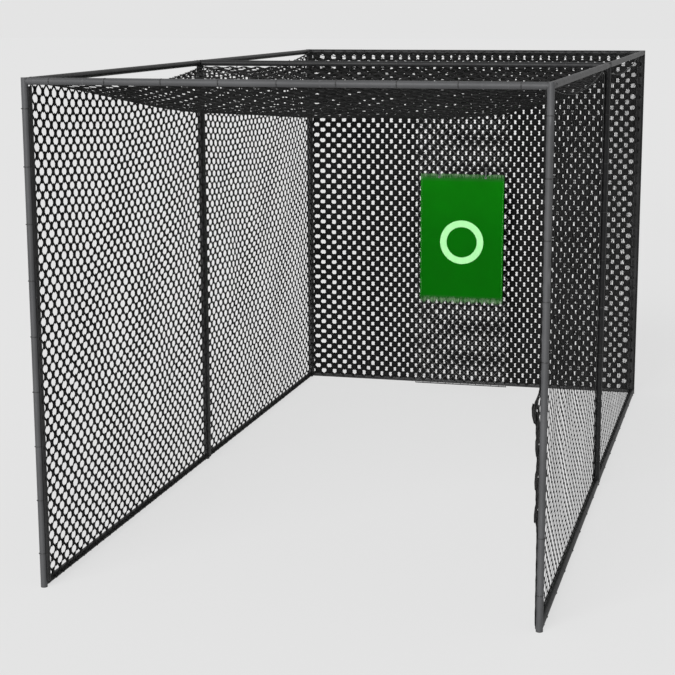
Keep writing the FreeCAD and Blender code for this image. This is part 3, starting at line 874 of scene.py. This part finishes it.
def make_ropes():
    heights = np.linspace(LOW_Z + ROPE_R, TOP_Z - ROPE_R, UPRIGHT_POINTS)
    stations = np.linspace(-SEAM_Y, SEAM_Y, SEAM_POINTS)
    for side, sign in (("left", -1), ("right", 1)):
        for where, y in (("front", -SEAM_Y), ("back", SEAM_Y)):
            make_rope_piece(f"upright_rope_{where}_{side}", f"rope_{where}_{side}",
                            edge_path(sign, y, heights))
        x = sign * SEAM_X
        make_rope_piece(f"seam_rope_{side}", f"seam_rope_top_{side}",
                        path_of(x, stations, seam_z(stations)))
        make_rope_piece(f"floor_rope_{side}", f"rope_bottom_{side}",
                        [(x, -SEAM_Y, LOW_Z), (x, SEAM_Y, LOW_Z)])
    for name, node, y, z in (("head_rope_front", "rope_top_front", -SEAM_Y, TOP_Z),
                             ("head_rope_back", "rope_top_back", SEAM_Y, TOP_Z),
                             ("floor_rope_back", "rope_bottom_back", SEAM_Y, LOW_Z)):
        make_rope_piece(name, node, [(-NET_X, y, z), (NET_X, y, z)])
    for name, node, z in (("impact_rope_top", "panel_top_rope", PANEL_TOP),
                          ("impact_rope_bottom", "panel_weight_rope", PANEL_LOW)):
        path = [(-PANEL_HALF, PANEL_Y, z), (PANEL_HALF, PANEL_Y, z)]
        make_rope_piece(name, node, path, "impact_panel")


# Cable ties round a tube and the rope beside it. A row of them is its two end gaps and its count.

TIE_WIDTH = 0.0048
TIE_THICKNESS = 0.0012
TIE_POINTS = 26
TIE_TUBE_GAP, TIE_ROPE_GAP = 0.0002, 0.0004
TIE_HEAD_LIFT = 0.0020
TIE_HEAD = (0.0022, 0.0038, 0.0032)
TIE_TAIL_LIFT, TIE_TAIL_ASIDE = 0.0026, 0.0015
TIE_TAIL = (0.0014, 0.0006, 0.0020)
TIED_EDGE_R = 0.0035
POST_TIES = (0.22, 0.16, 9)
MIDDLE_POST_TIES = (0.30, 0.35, 8)
FLOOR_TIES = (0.18, 0.18, 15)
HEAD_TIES = (0.16, 0.16, 9)
ROOF_TIES = (0.30, 0.30, 7)
SEAM_END_TIE, SEAM_MIDDLE_TIE = 0.09, 0.07

BLOCK_CUT = 0.7
BLOCK_RING = ((1, BLOCK_CUT), (BLOCK_CUT, 1), (-BLOCK_CUT, 1), (-1, BLOCK_CUT),
              (-1, -BLOCK_CUT), (-BLOCK_CUT, -1), (BLOCK_CUT, -1), (1, -BLOCK_CUT))
BLOCK_LEVELS = ((-1, BLOCK_CUT), (-BLOCK_CUT, 1), (BLOCK_CUT, 1), (1, BLOCK_CUT))


def add_block(build, centre, directions, half):
    """A small block with its edges taken off, from its half sizes along three directions."""
    corners = [(u * share, v * share, level) for level, share in BLOCK_LEVELS for u, v in BLOCK_RING]
    points = centre + np.array(corners) * half @ np.array(directions)
    build.add(points, capped_faces(len(BLOCK_LEVELS), len(BLOCK_RING)))


def tie_outline(first_r, second_r, apart):
    """Points of a belt round two circles, in the plane where the second lies along +u."""
    turn = math.acos((first_r - second_r) / apart)
    few = TIE_POINTS // 3
    return np.concatenate([arc(second_r, -turn, turn, few, x=apart),
                           arc(first_r, turn, 2 * math.pi - turn, TIE_POINTS - few)])


def add_tie(build, centre, towards, axis, apart=ROPE_APART, rope_r=ROPE_R):
    """One cable tie with its head and cut tail. axis runs along the tube."""
    centre, towards, axis = (np.asarray(v, float) for v in (centre, towards, axis))
    across = np.cross(axis, towards)
    inner = tie_outline(TUBE_R + TIE_TUBE_GAP, rope_r + TIE_ROPE_GAP, apart)
    outer = tie_outline(TUBE_R + TIE_THICKNESS, rope_r + TIE_THICKNESS, apart)
    half = axis * TIE_WIDTH / 2
    near = centre + inner @ (towards, across)
    far = centre + outer @ (towards, across)
    rings = np.stack([near - half, near + half, far + half, far - half], 1)
    build.add(rings, ring_faces(len(rings), 4, closed=True))
    head = centre - towards * (TUBE_R + TIE_HEAD_LIFT)
    tail = head - towards * TIE_TAIL_LIFT + across * TIE_TAIL_ASIDE
    for place, half_sizes in ((head, TIE_HEAD), (tail, TIE_TAIL)):
        add_block(build, place, (towards, across, axis), half_sizes)


CAGE_ENDS = ((-HALF_LENGTH, 1), (HALF_LENGTH, -1))


def spread(low, high, row):
    first, last, count = row
    return np.linspace(low + first, high - last, count)


def add_side_ties(build, sign):
    """The ties of the three posts, the bottom rails and the top rails on one side."""
    x, inward = sign * HALF_WIDTH, (-sign, 0, 0)
    for y, direction in CAGE_ENDS:
        for z in spread(0, TOP_Z, POST_TIES):
            if sign < 0 or y > 0 or not FLAP_LOW < z < FLAP_HIGH:
                diagonal = unit(np.array([-sign, direction, 0.0]))
                add_tie(build, (x, y, z), diagonal, (0, 0, 1), ROPE_APART * math.sqrt(2))
    for z in spread(0, TOP_Z, MIDDLE_POST_TIES):
        add_tie(build, (x, 0, z), inward, (0, 0, 1), rope_r=TIED_EDGE_R)
    for y in spread(-HALF_LENGTH, HALF_LENGTH, FLOOR_TIES):
        add_tie(build, (x, y, LOW_Z), inward, (0, 1, 0))
    for y in (-HALF_LENGTH + SEAM_END_TIE, -SEAM_MIDDLE_TIE, SEAM_MIDDLE_TIE,
              HALF_LENGTH - SEAM_END_TIE):
        gap = np.array([-sign * ROPE_APART, 0, seam_z(y) - TOP_Z])
        length = np.linalg.norm(gap)
        add_tie(build, (x, y, TOP_Z), gap / length, (0, 1, 0), length)


def make_ties():
    build = Build()
    for sign in (-1, 1):
        add_side_ties(build, sign)
    for y, direction in CAGE_ENDS:
        for x in spread(-HALF_WIDTH, HALF_WIDTH, HEAD_TIES):
            add_tie(build, (x, y, TOP_Z), (0, direction, 0), (1, 0, 0))
    for x in spread(-HALF_WIDTH, HALF_WIDTH, ROOF_TIES):
        add_tie(build, (x, 0, TOP_Z), (0, 0, -1), (1, 0, 0), TOP_Z - roof_z(x, 0.0), TIED_EDGE_R)
    build.piece("net_ties", TIE_PLASTIC, "border_rope")


# Welds and locking screws at the spigots

WELD_R = 0.0021
WELD_LIFT = 0.0006
WELD_RIPPLE = 0.0003
WELD_POINTS = 40
SCREW_REACH = 0.052
SCREW_SIDES = 16
SCREW_PROFILE = ((0.0062, -0.0012), (0.0062, 0.0006), (0.0048, 0.0008), (0.0046, 0.0018),
                 (0.0036, 0.0030), (0.0016, 0.0034), (0.0013, 0.0018), (0.0001, 0.0016))


def spigots():
    """Every rail end: the point on its post's axis, and the direction of the rail."""
    found = []
    for sign in (-1, 1):
        for z in (TOP_Z, LOW_Z):
            for y, steps in ((-HALF_LENGTH, (1,)), (0, (1, -1)), (HALF_LENGTH, (-1,))):
                found += [((sign * HALF_WIDTH, y, z), (0, step, 0)) for step in steps]
        for y in (-HALF_LENGTH, 0, HALF_LENGTH):
            found.append(((sign * HALF_WIDTH, y, TOP_Z), (-sign, 0, 0)))
    return found


WELD_TURN = 2.7
WELD_SIDES = 6


def add_saddle_weld(build, centre, direction):
    """A bead round a spigot, where the spigot meets the round post."""
    angles = circle(WELD_POINTS)
    aside = SPIGOT_R * np.cos(angles)
    reach = np.sqrt(TUBE_R ** 2 - aside ** 2) + WELD_LIFT
    path = (centre + np.outer(reach, direction) + np.outer(aside, np.cross((0, 0, 1), direction))
            + np.outer(SPIGOT_R * np.sin(angles), (0, 0, 1)))
    bead = WELD_R + WELD_RIPPLE * np.sin(np.arange(WELD_POINTS) * WELD_TURN)
    add_tube(build, path, bead, count=WELD_SIDES, closed=True)


def add_screw(build, centre, outward, axis):
    """A pan head screw with a round recess, on a washer, that stands on the tube."""
    centre, outward, axis = (np.asarray(v, float) for v in (centre, outward, axis))
    across = np.cross(outward, axis)
    angles = circle(SCREW_SIDES)
    round_about = np.outer(np.cos(angles), axis) + np.outer(np.sin(angles), across)
    rings = [centre + outward * (TUBE_R + height) + round_about * radius
             for radius, height in SCREW_PROFILE]
    last = (len(rings) - 1) * SCREW_SIDES
    faces = ring_faces(len(rings), SCREW_SIDES) + [list(range(last, last + SCREW_SIDES))]
    build.add(rings, faces)


def make_joints():
    welds, screws = Build(), Build()
    for centre, direction in spigots():
        add_saddle_weld(welds, centre, direction)
        place = np.asarray(centre) + np.asarray(direction) * SCREW_REACH
        at_floor = centre[2] == LOW_Z
        outward = (math.copysign(1, centre[0]), 0, 0) if at_floor else (0, 0, -1)
        add_screw(screws, place, outward, direction)
    welds.piece("spigot_welds", POWDER, "frame_tube")
    screws.piece("locking_screws", ZINC, "snap_hook")


# Snap hooks

HOOK_BEND = 0.021
HOOK_HALF = 0.024
HOOK_NOSE = 0.80
HOOK_HEEL = 0.62
HOOK_BEND_POINTS = 15
GATE_LOW = 0.66
GATE_HIGH = 0.84
GATE_R = 0.0026
GATE_BOW = 0.0004
PIN_HALF = 0.0038
PIN_R = 0.0016
COLLAR_LOW, COLLAR_HIGH = 0.0005, 0.0015
COLLAR_RINGS = ((-0.0022, 0.0031), (-0.0020, 0.0038), (0.0020, 0.0038), (0.0022, 0.0031))


WIRE_SIDES = 10
COLLAR_SIDES = 12


def hook_path(centre):
    """The bent wire: an oval in a Y-Z plane, open on its front side where the gate sits."""
    u, v = np.concatenate([[(HOOK_BEND, HOOK_HALF * HOOK_NOSE)],
                           arc(HOOK_BEND, 0, math.pi, HOOK_BEND_POINTS, y=HOOK_HALF),
                           arc(HOOK_BEND, math.pi, 2 * math.pi, HOOK_BEND_POINTS, y=-HOOK_HALF),
                           [(HOOK_BEND, -HOOK_HALF * HOOK_HEEL)]]).T
    return path_of(centre[0], centre[1] - u, centre[2] + v)


def add_snap_hook(build, centre):
    """The bent wire, its gate, the gate's pin and a collar at each end of the gate."""
    add_tube(build, hook_path(centre), WIRE_R, count=WIRE_SIDES)
    cx, cy, cz = centre
    front = cy - HOOK_BEND
    low, high = cz - HOOK_HALF * GATE_LOW, cz + HOOK_HALF * GATE_HIGH
    add_tube(build, [(cx, front, low), (cx, front + GATE_BOW, (low + high) / 2), (cx, front, high)],
             [WIRE_R, GATE_R, GATE_R], count=WIRE_SIDES)
    add_tube(build, [(cx - PIN_HALF, front, low), (cx + PIN_HALF, front, low)], PIN_R)
    for z in (low + COLLAR_LOW, high - COLLAR_HIGH):
        add_tube(build, [(cx, front, z + rise) for rise, _ in COLLAR_RINGS],
                 [radius for _, radius in COLLAR_RINGS], count=COLLAR_SIDES)


def make_hooks():
    for name, node, body, x in (("roof_snap_hooks", "panel_hooks", "root", PANEL_HOOK_X),
                                ("target_snap_hooks", "target_hooks", "impact_panel", EYELET_X)):
        build = Build()
        for sign in (-1, 1):
            add_snap_hook(build, (sign * x, middle(node, 1), middle(node, 2)))
        build.piece(name, ZINC, "snap_hook", body, [node])


# Target sheet

CLOTH_COLUMNS = 66
CLOTH_ROWS = 98
CLOTH_END_COLUMNS = 12
CLOTH_THICKNESS = 0.0022
CLOTH_FACE = CLOTH_THICKNESS / 2
CLOTH_SWELL, CLOTH_CURL, CLOTH_CORNERS = 0.0045, 0.0050, 0.0040
EYELET_CELL = 0.012
EYELET_LOOP = ((1, 0), (1, 1), (0, 1), (-1, 1), (-1, 0), (-1, -1), (0, -1), (1, -1))
EYELET_SECTION = ((0.0080, 0.0), (0.0084, 0.0018), (0.0098, 0.0026), (0.0122, 0.0020),
                  (0.0132, 0.0010), (0.0132, -0.0010), (0.0122, -0.0020), (0.0098, -0.0026),
                  (0.0084, -0.0018))
EYELET_POINTS = 32
HEM_WIDTH = 0.011
HEM_INSET = 0.0014
HEM_PROUD = 0.0009
HEM_FOLD = 0.0012
STITCH_STEP = 0.0095
STITCH_MARGIN = 0.008
STITCH_RADII = (0.0004, 0.0006, 0.0004)
STITCH_DIP, STITCH_RISE = 0.0006, 0.0003
HEM_STITCH, HEM_STITCH_PROUD = 0.0031, 0.0010
RING_STITCH, RING_STITCH_PROUD = 0.003, 0.0016
HEM_ROW, RING_ROW = HEM_WIDTH - 0.002, 0.004
RING_POINTS = 120
RING_SECTION = ((RING_INNER, -0.0002), (RING_INNER + 0.001, 0.0012), (RING_INNER + 0.007, 0.0009),
                (RING_OUTER - 0.007, 0.0009), (RING_OUTER - 0.001, 0.0012), (RING_OUTER, -0.0002))
FRINGE_STEP = 0.0024
FRINGE_LOW, FRINGE_HIGH = 0.036, 0.015
FRINGE_RADII = (0.0009, 0.0016, 0.0015, 0.0007)
FRINGE_ROOT = (0.006, 0.034)
FRINGE_WANDER = 0.001
FRINGE_LEAN = (0.010, 83.0, 0, 0)
FRINGE_LEAN_SPREAD = 0.003
FRINGE_CLUMP = (0.5, 171.0, 0, 0)
FRINGE_DRIFT = (2.0, 53.0, 0, 0)
FRINGE_LEAST = 0.35
FRINGE_SPREAD = (0.6, 1.0)
FRINGE_PALE, FRINGE_PALER = 0.35, 0.4
FRINGE_MARGIN = (0.004, 0.003)
FRINGE_LEAN_AT = np.array((0, 0.2, 0.6, 1))
FRINGE_PROUD = (0.0004, 0.0030, 0.0042)
FRINGE_TIP_PROUD = (0.0040, 0.0065)
EYELET_CLEAR = 0.018
CURL_WAVE = (0.5, 9.5, 0, 0.6)
HEM_TAPER = 0.7


def cloth_y(x, z):
    """How the hung sheet waves: still at its eyelets, and fuller towards its free bottom edge."""
    fall = (TARGET_HIGH.z - z) / (TARGET_HIGH.z - TARGET_LOW.z)
    fold = 0.5 + 0.5 * np.cos(math.pi * x / EYELET_X)
    swell = CLOTH_SWELL * fold * np.clip(fall * 3.0, 0, 1)
    curl = CLOTH_CURL * fall ** 2 * (0.5 + sine_wave(CURL_WAVE, x))
    corners = CLOTH_CORNERS * (np.abs(x) / TARGET_HALF) ** 6 * (0.4 + fall)
    return TARGET_Y - swell - curl - corners


def on_cloth(x, z, lift=0.0):
    """Points on the cloth, or as far in front of its middle as lift says."""
    return path_of(x, cloth_y(x, z) - lift, z)


def grid_lines():
    """Column and row places of the cloth, with a square of four cells round each eyelet."""
    inner = np.linspace(-EYELET_X + EYELET_CELL, EYELET_X - EYELET_CELL,
                        CLOTH_COLUMNS - 2 * CLOTH_END_COLUMNS)
    outer = np.linspace(EYELET_X + EYELET_CELL, TARGET_HALF, CLOTH_END_COLUMNS)
    columns = np.concatenate([-outer[::-1], [-EYELET_X], inner, [EYELET_X], outer])
    rows = np.concatenate([np.linspace(TARGET_LOW.z, EYELET_Z - EYELET_CELL, CLOTH_ROWS),
                           [EYELET_Z, EYELET_Z + EYELET_CELL, TARGET_HIGH.z]])
    return columns, rows


def make_cloth():
    columns, rows = grid_lines()
    x, z = np.meshgrid(columns, rows, indexing="ij")
    points = on_cloth(x, z).reshape(-1, 3).tolist()
    across = len(rows)
    centres = [column * across + CLOTH_ROWS
               for column in (CLOTH_END_COLUMNS, len(columns) - 1 - CLOTH_END_COLUMNS)]
    open_cells = [c - i * across - j for c in centres for i in (0, 1) for j in (0, 1)]
    cells = (i * across + j for i in range(len(columns) - 1) for j in range(across - 1))
    faces = [(a, a + across, a + across + 1, a + 1) for a in cells if a not in open_cells]
    sides = len(EYELET_LOOP)
    px, pz = EYELET_R * np.cos(circle(sides)), EYELET_Z + EYELET_R * np.sin(circle(sides))
    for centre in centres:
        around = [centre + i * across + j for i, j in EYELET_LOOP]
        first = len(points)
        points += on_cloth(points[centre][0] + px, pz).tolist()
        for number in range(sides):
            after = (number + 1) % sides
            faces.append((around[number], around[after], first + after, first + number))
    build = Build()
    build.add(points, faces)
    cloth = build.piece("target_cloth", GREEN_CLOTH, "target_cloth", "target", ["target_sheet"])
    thick = cloth.modifiers.new("thickness", "SOLIDIFY")
    thick.thickness = CLOTH_THICKNESS
    thick.offset = 0
    return cloth


def hem_lines():
    """The four edges of the sheet, each with the direction that leads inwards."""
    side, low, high = TARGET_HALF - HEM_INSET, TARGET_LOW.z + HEM_INSET, TARGET_HIGH.z - HEM_INSET
    xs = np.linspace(-side, side, CLOTH_COLUMNS + 1)
    zs = np.linspace(low, high, CLOTH_ROWS + 1)
    return ((path_of(xs, low), (0, 1)), (path_of(xs, high), (0, -1)),
            (path_of(-side, zs), (1, 0)), (path_of(side, zs), (-1, 0)))


def make_hem():
    """A folded hem: a shallow band on both faces of the cloth that closes over its edge."""
    build = Build()
    front = np.array((0, -CLOTH_FACE - HEM_PROUD, 0))
    for line, inward in hem_lines():
        x, z = line.T
        base = on_cloth(x, z)
        inner = on_cloth(x + inward[0] * HEM_WIDTH, z + inward[1] * HEM_WIDTH)
        between = (inner + base) / 2
        out = base - np.array((inward[0], 0, inward[1])) * HEM_FOLD
        rings = np.stack([inner + front * HEM_TAPER, between + front, base + front, out,
                          base - front, between - front, inner - front * HEM_TAPER], 1)
        build.add(rings, capped_faces(*rings.shape[:2]))
    return build.piece("target_hem", GREEN_CLOTH, "target_cloth", "target")


def make_ring():
    build = Build()
    radii, lifts = np.array(RING_SECTION).T
    angles = circle(RING_POINTS)[:, None]
    rings = on_cloth(radii * np.cos(angles), RING_Z + radii * np.sin(angles), CLOTH_FACE + lifts)
    build.add(rings, ring_faces(RING_POINTS, len(radii), closed=True))
    return build.piece("target_ring", PALE_CLOTH, "target_cloth", "target")


def add_stitch(build, x, z, dx, dz, proud):
    y = cloth_y(x, z) - CLOTH_FACE - proud
    low = y + STITCH_DIP
    path = [(x - dx, low, z - dz), (x, y - STITCH_RISE, z), (x + dx, low, z + dz)]
    add_tube(build, path, STITCH_RADII, count=4)


def make_stitches():
    """One row along the hem, and one along each edge of the ring."""
    build = Build()
    for line, inward in hem_lines():
        side = line[-1] - line[0]
        length = np.linalg.norm(side)
        dx, dz = side / length * HEM_STITCH
        for share in np.arange(STITCH_MARGIN, length - STITCH_MARGIN, STITCH_STEP) / length:
            x, z = line[0] + side * share + np.array(inward) * HEM_ROW
            add_stitch(build, x, z, dx, dz, HEM_STITCH_PROUD)
    for radius in (RING_INNER + RING_ROW, RING_OUTER - RING_ROW):
        for angle in np.arange(0, 2 * math.pi, STITCH_STEP / radius):
            across, up = math.cos(angle), math.sin(angle)
            add_stitch(build, radius * across, RING_Z + radius * up,
                       -RING_STITCH * up, RING_STITCH * across, RING_STITCH_PROUD)
    return build.piece("target_stitches", PALE_CLOTH, "target_cloth", "target")


def make_fringe():
    """Loose threads in clumps along the lower and the upper edge, some green and some pale."""
    green, pale = Build(), Build()
    draws = np.random.default_rng(61)
    for edge, sense, longest in ((TARGET_LOW.z, -1, FRINGE_LOW), (TARGET_HIGH.z, 1, FRINGE_HIGH)):
        for x in np.arange(-TARGET_HALF + FRINGE_MARGIN[0], TARGET_HALF - FRINGE_MARGIN[1], FRINGE_STEP):
            if sense > 0 and abs(abs(x) - EYELET_X) < EYELET_CLEAR:
                continue
            x = x + draws.uniform(-FRINGE_WANDER, FRINGE_WANDER)
            clump = 0.5 + sine_wave(FRINGE_CLUMP, x, phase=sine_wave(FRINGE_DRIFT, x))
            reach = clump * draws.uniform(*FRINGE_SPREAD)
            reach = sense * longest * (FRINGE_LEAST + (1 - FRINGE_LEAST) * reach)
            root = edge - sense * draws.uniform(*FRINGE_ROOT)
            lean = sine_wave(FRINGE_LEAN, x) + draws.uniform(-FRINGE_LEAN_SPREAD, FRINGE_LEAN_SPREAD)
            y = cloth_y(x, root) - CLOTH_FACE
            proud = (*FRINGE_PROUD, draws.uniform(*FRINGE_TIP_PROUD))
            path = path_of(x + lean * FRINGE_LEAN_AT, y - np.array(proud),
                           (root, edge - sense * 0.004, edge + reach * 0.5, edge + reach))
            build = pale if draws.random() < FRINGE_PALE + FRINGE_PALER * clump else green
            add_tube(build, path, FRINGE_RADII, count=4)
    return (green.piece("target_fringe", GREEN_CLOTH, "target_cloth", "target"),
            pale.piece("target_fringe_frayed", FRAYED_THREAD, "target_cloth", "target"))


def make_eyelets():
    build = Build()
    radii, outs = np.array(EYELET_SECTION).T
    angles = circle(EYELET_POINTS)[:, None]
    for x in (-EYELET_X, EYELET_X):
        rings = path_of(x + radii * np.cos(angles), cloth_y(x, EYELET_Z) - outs,
                        EYELET_Z + radii * np.sin(angles))
        build.add(rings, ring_faces(EYELET_POINTS, len(radii), closed=True))
    return build.piece("target_eyelets", ZINC, "snap_hook", "target")


def make_target():
    cloth = make_cloth()
    hem = make_hem()
    ring = make_ring()
    thread = make_stitches()
    tufts, frayed = make_fringe()
    rims = make_eyelets()


# Coats of the solids that stay in sight

def dress_cad_nodes():
    for name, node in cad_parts.items():
        # The front posts and the front rail take the lighter copy of the powder coat, every other part
        # the darker copy: painted light and shade on one finish
        front_lit = name.startswith("post_front") or name == "cross_rail_front"
        material = POWDER if front_lit else SHADE_PAINTED_POWDER
        if name == "post_feet":
            material = RUBBER
        node.data.materials.clear()
        node.data.materials.append(material)


# Floor, lights and camera

FLOOR_REACH = 160.0
FLOOR_COLOUR = 0.90
FLOOR_GLOW = 0.845
SHADOW_SHARE = 0.22
WORLD_TONE = 0.776
WORLD_LIGHT = 0.30
SUNS = (("key_light", 1.6, 35, (0.30, 0.90, -0.55)), ("front_light", 2.0, 14, (0.10, 1.0, -0.11)))
CAMERA_PLACE = (2.7428, -12.2063, 3.5538)
CAMERA_YAW, CAMERA_PITCH, CAMERA_ROLL = (math.radians(a) for a in (-14.72, -11.29, -0.19))
SENSOR_WIDTH = 36.0
LENS = 89.14


def lit_only_as_seen(block, output, lit, shown, share):
    """Fills a world or material. lit gives the light, and shown is what is seen, each kind and grey."""
    block.use_nodes = True
    tree = block.node_tree
    tree.nodes.clear()
    rays = add_node(tree, "LightPath").outputs
    seen = rays["Is Camera Ray"]
    for name in ("Is Glossy Ray", "Is Transmission Ray"):
        either = add_node(tree, "Math", seen, rays[name])
        either.operation = "MAXIMUM"
        seen = either.outputs[0]
    scaled = add_node(tree, "Math", seen)
    scaled.operation = "MULTIPLY"
    scaled.inputs[1].default_value = share
    shaders = [add_node(tree, kind, Color=(*grey(value), 1)).outputs[0] for kind, value in (lit, shown)]
    mix = add_node(tree, "MixShader", scaled.outputs[0], *shaders)
    add_node(tree, output, mix.outputs[0])


def make_floor():
    mesh = bpy.data.meshes.new("floor")
    far = FLOOR_REACH
    mesh.from_pydata([(-far, -far, 0), (far, -far, 0), (far, far, 0), (-far, far, 0)],
                     [], [(0, 1, 2, 3)])
    material = bpy.data.materials.new("studio_floor")
    lit_only_as_seen(material, "OutputMaterial", ("BsdfDiffuse", FLOOR_COLOUR),
                     ("Emission", FLOOR_GLOW), 1 - SHADOW_SHARE)
    mesh.materials.append(material)
    new_object("floor", mesh)


def make_world():
    world = bpy.data.worlds.new("studio")
    lit_only_as_seen(world, "OutputWorld", ("Background", WORLD_LIGHT), ("Background", WORLD_TONE), 1.0)
    bpy.context.scene.world = world


def make_suns():
    for name, strength, spread_angle, direction in SUNS:
        data = bpy.data.lights.new(name, "SUN")
        data.energy = strength
        data.angle = math.radians(spread_angle)
        turn = Vector(direction).to_track_quat("-Z", "Y")
        new_object(name, data).rotation_euler = turn.to_euler()


def make_camera():
    data = bpy.data.cameras.new("photo_camera")
    data.sensor_width = SENSOR_WIDTH
    data.lens = LENS
    camera = new_object("photo_camera", data)
    camera.matrix_world = (Matrix.Translation(CAMERA_PLACE) @ Matrix.Rotation(-CAMERA_YAW, 4, "Z")
                           @ Matrix.Rotation(math.pi / 2 + CAMERA_PITCH, 4, "X")
                           @ Matrix.Rotation(CAMERA_ROLL, 4, "Z"))
    bpy.context.scene.camera = camera


bpy.context.scene.view_settings.view_transform = "Standard"
make_camera()
make_world()
make_suns()
make_floor()
dress_cad_nodes()
make_side_nets()
make_back_net()
make_roof_net()
make_panel_net()
make_tapes()
make_ropes()
make_ties()
make_joints()
make_hooks()
make_target()
